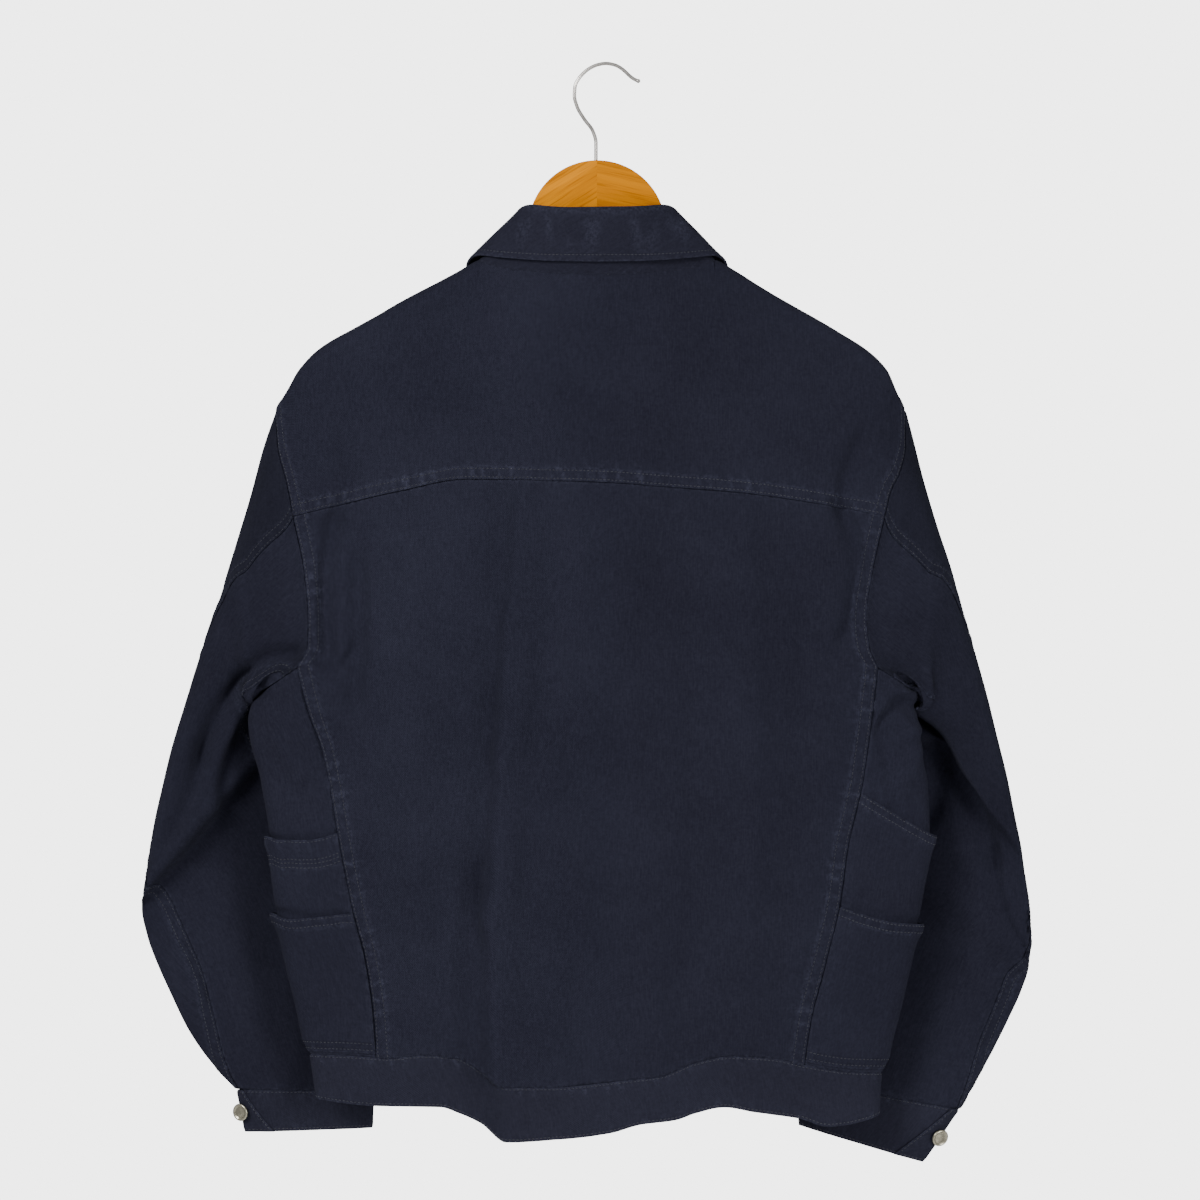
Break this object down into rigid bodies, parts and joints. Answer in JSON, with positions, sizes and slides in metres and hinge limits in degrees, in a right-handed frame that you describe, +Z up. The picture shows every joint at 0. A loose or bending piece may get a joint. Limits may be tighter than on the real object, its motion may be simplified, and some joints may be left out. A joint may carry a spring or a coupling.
{
  "type": "trucker jacket on a wooden hanger",
  "caption": "Buttoned twill jacket with back yoke, two-piece sleeves, folded collar, side patch pockets and waistband, hanging on a wooden hanger with a wire hook.",
  "frame": {"origin": "inside the crown of the hanger's hook, where a rail carries it", "axes": "+Z up, -Y towards the back of the jacket, +Y towards its front, +X towards the wearer's right"},
  "size_m": [0.7034, 0.1111, 0.8703],
  "materials": {
    "twill": "worn cotton twill",
    "twill_pocket": "worn cotton twill",
    "twill_band": "worn cotton twill, double",
    "twill_collar": "worn cotton twill, double",
    "button_metal": "dull, worn plating",
    "varnished_wood": "clear varnish",
    "hook_wire": "satin"
  },
  "bodies": {
    "root": {"back_yoke": "twill", "back_panel": "twill", "side_panel_left": "twill", "side_panel_right": "twill", "front_left": "twill", "front_right": "twill", "sleeve_left_over": "twill", "sleeve_left_under": "twill", "sleeve_right_over": "twill", "sleeve_right_under": "twill", "side_pocket_left": "twill_pocket", "side_pocket_left_lower": "twill_pocket", "side_pocket_right": "twill_pocket", "side_pocket_right_lower": "twill_pocket", "waistband": "twill_band", "cuff_left": "twill_band", "cuff_right": "twill_band", "collar_stand": "twill_collar", "collar_leaf": "twill_collar", "cuff_button_left": "button_metal", "cuff_button_right": "button_metal", "front_button_1": "button_metal", "front_button_2": "button_metal", "front_button_3": "button_metal", "front_button_4": "button_metal", "front_button_5": "button_metal", "front_button_6": "button_metal", "hanger_wood": "varnished_wood", "hook": "hook_wire"}
  },
  "joints": []
}
